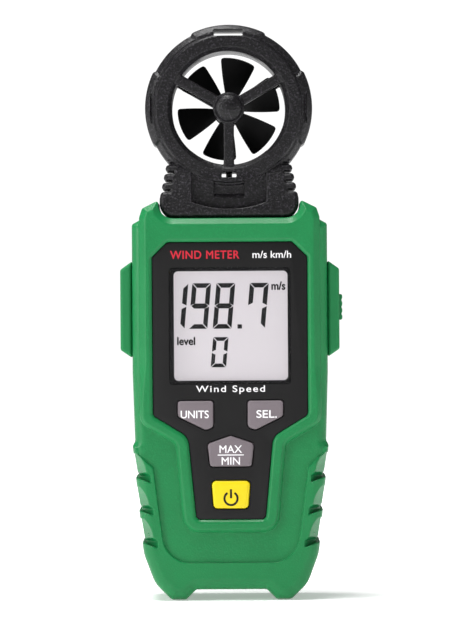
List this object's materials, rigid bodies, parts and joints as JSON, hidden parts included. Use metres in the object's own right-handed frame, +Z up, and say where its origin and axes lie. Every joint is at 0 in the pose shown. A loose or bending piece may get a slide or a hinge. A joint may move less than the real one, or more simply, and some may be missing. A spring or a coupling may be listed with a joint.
{
  "type": "handheld vane anemometer",
  "caption": "Handheld wind speed meter: slim contoured body with a square display, face keys and a side key, and a ducted fan wheel on a ribbed neck.",
  "frame": {"origin": "on the ground plane under the middle of the meter, which stands upright on its two feet", "axes": "+Z up along the meter's length towards the wheel duct, -Y out of the front with the display, +X to the right of someone reading the display"},
  "size_m": [0.065, 0.032, 0.168],
  "materials": {
    "green_shell": "fine-grained green ABS casing",
    "green_rubber": "satin green elastomer",
    "black_moulding": "fine-grained black ABS",
    "black_panel": null,
    "black_wheel": "satin black blades",
    "clear_window": "clear window",
    "display_glass": "pale reflective display glass",
    "grey_key": "satin grey key with printed legend",
    "yellow_key": "satin yellow key with printed symbol",
    "milky_plastic": "translucent white light guide plastic",
    "circuit_board": "green solder mask on glass-fibre board",
    "dark_component": "dark moulded component",
    "steel": "plated steel",
    "bearing_brass": "turned brass",
    "battery_can": "plain wrapped cell",
    "red_lead": "red wire insulation"
  },
  "bodies": {
    "meter": {"head_front": "black_moulding", "head_rear": "black_moulding", "front_bearing": "bearing_brass", "rear_bearing": "bearing_brass", "speed_sensor": "dark_component", "temperature_sensor": "dark_component", "sensor_ribbon": "milky_plastic", "head_screw_left": "steel", "head_screw_right": "steel", "front_shell": "green_shell", "rear_shell": "green_shell", "left_side_pad": "green_rubber", "right_side_pad": "green_rubber", "case_screw_upper_left": "steel", "case_screw_upper_right": "steel", "case_screw_lower_left": "steel", "case_screw_lower_right": "steel", "face_panel": "black_panel", "display_window": "clear_window", "units_switch": "dark_component", "select_switch": "dark_component", "max_min_switch": "dark_component", "power_switch": "dark_component", "side_switch": "dark_component", "lcd_panel": "display_glass", "backlight": "milky_plastic", "contact_strip": "dark_component", "lcd_holder": "milky_plastic", "main_board": "circuit_board", "controller_chip": "dark_component", "ribbon_connector": "milky_plastic", "board_screw_lower_left": "steel", "board_screw_lower_right": "steel", "board_screw_middle_left": "steel", "board_screw_middle_right": "steel", "cell_left": "battery_can", "cell_middle": "battery_can", "cell_right": "battery_can", "cell_spring_left": "steel", "cell_spring_middle": "steel", "cell_spring_right": "steel", "contact_lower_pair": "steel", "contact_lower_single": "steel", "contact_upper_single": "steel", "contact_upper_pair": "steel", "battery_lead_positive": "red_lead", "battery_lead_negative": "dark_component"},
    "wheel": {"fan_wheel": "black_wheel", "wheel_shaft": "steel", "hub_magnet": "steel"},
    "units_key": {"units_key": "grey_key"},
    "select_key": {"select_key": "grey_key"},
    "max_min_key": {"max_min_key": "grey_key"},
    "power_key": {"power_key": "yellow_key"},
    "side_key": {"side_key": "green_rubber"},
    "battery_door": {"battery_door": "green_shell"}
  },
  "joints": [
    {"name": "wheel_spin", "type": "hinge", "parent": "meter", "child": "wheel", "pos_m": [0, 0, 0.1435], "axis": [0, 1, 0], "continuous": true},
    {"name": "units_key_press", "type": "slide", "parent": "meter", "child": "units_key", "axis": [0, 1, 0], "range_m": [0, 0.0006], "stiffness_N_per_m": 3000},
    {"name": "select_key_press", "type": "slide", "parent": "meter", "child": "select_key", "axis": [0, 1, 0], "range_m": [0, 0.0006], "stiffness_N_per_m": 3000},
    {"name": "max_min_key_press", "type": "slide", "parent": "meter", "child": "max_min_key", "axis": [0, 1, 0], "range_m": [0, 0.0006], "stiffness_N_per_m": 3000},
    {"name": "power_key_press", "type": "slide", "parent": "meter", "child": "power_key", "axis": [0, 1, 0], "range_m": [0, 0.0006], "stiffness_N_per_m": 3000},
    {"name": "side_key_press", "type": "slide", "parent": "meter", "child": "side_key", "axis": [-1, 0, 0], "range_m": [0, 0.0005], "stiffness_N_per_m": 3000},
    {"name": "battery_door_swing", "type": "hinge", "parent": "meter", "child": "battery_door", "pos_m": [0, 0.016, 0.0083], "axis": [-1, 0, 0], "range_deg": [0, 75]}
  ]
}
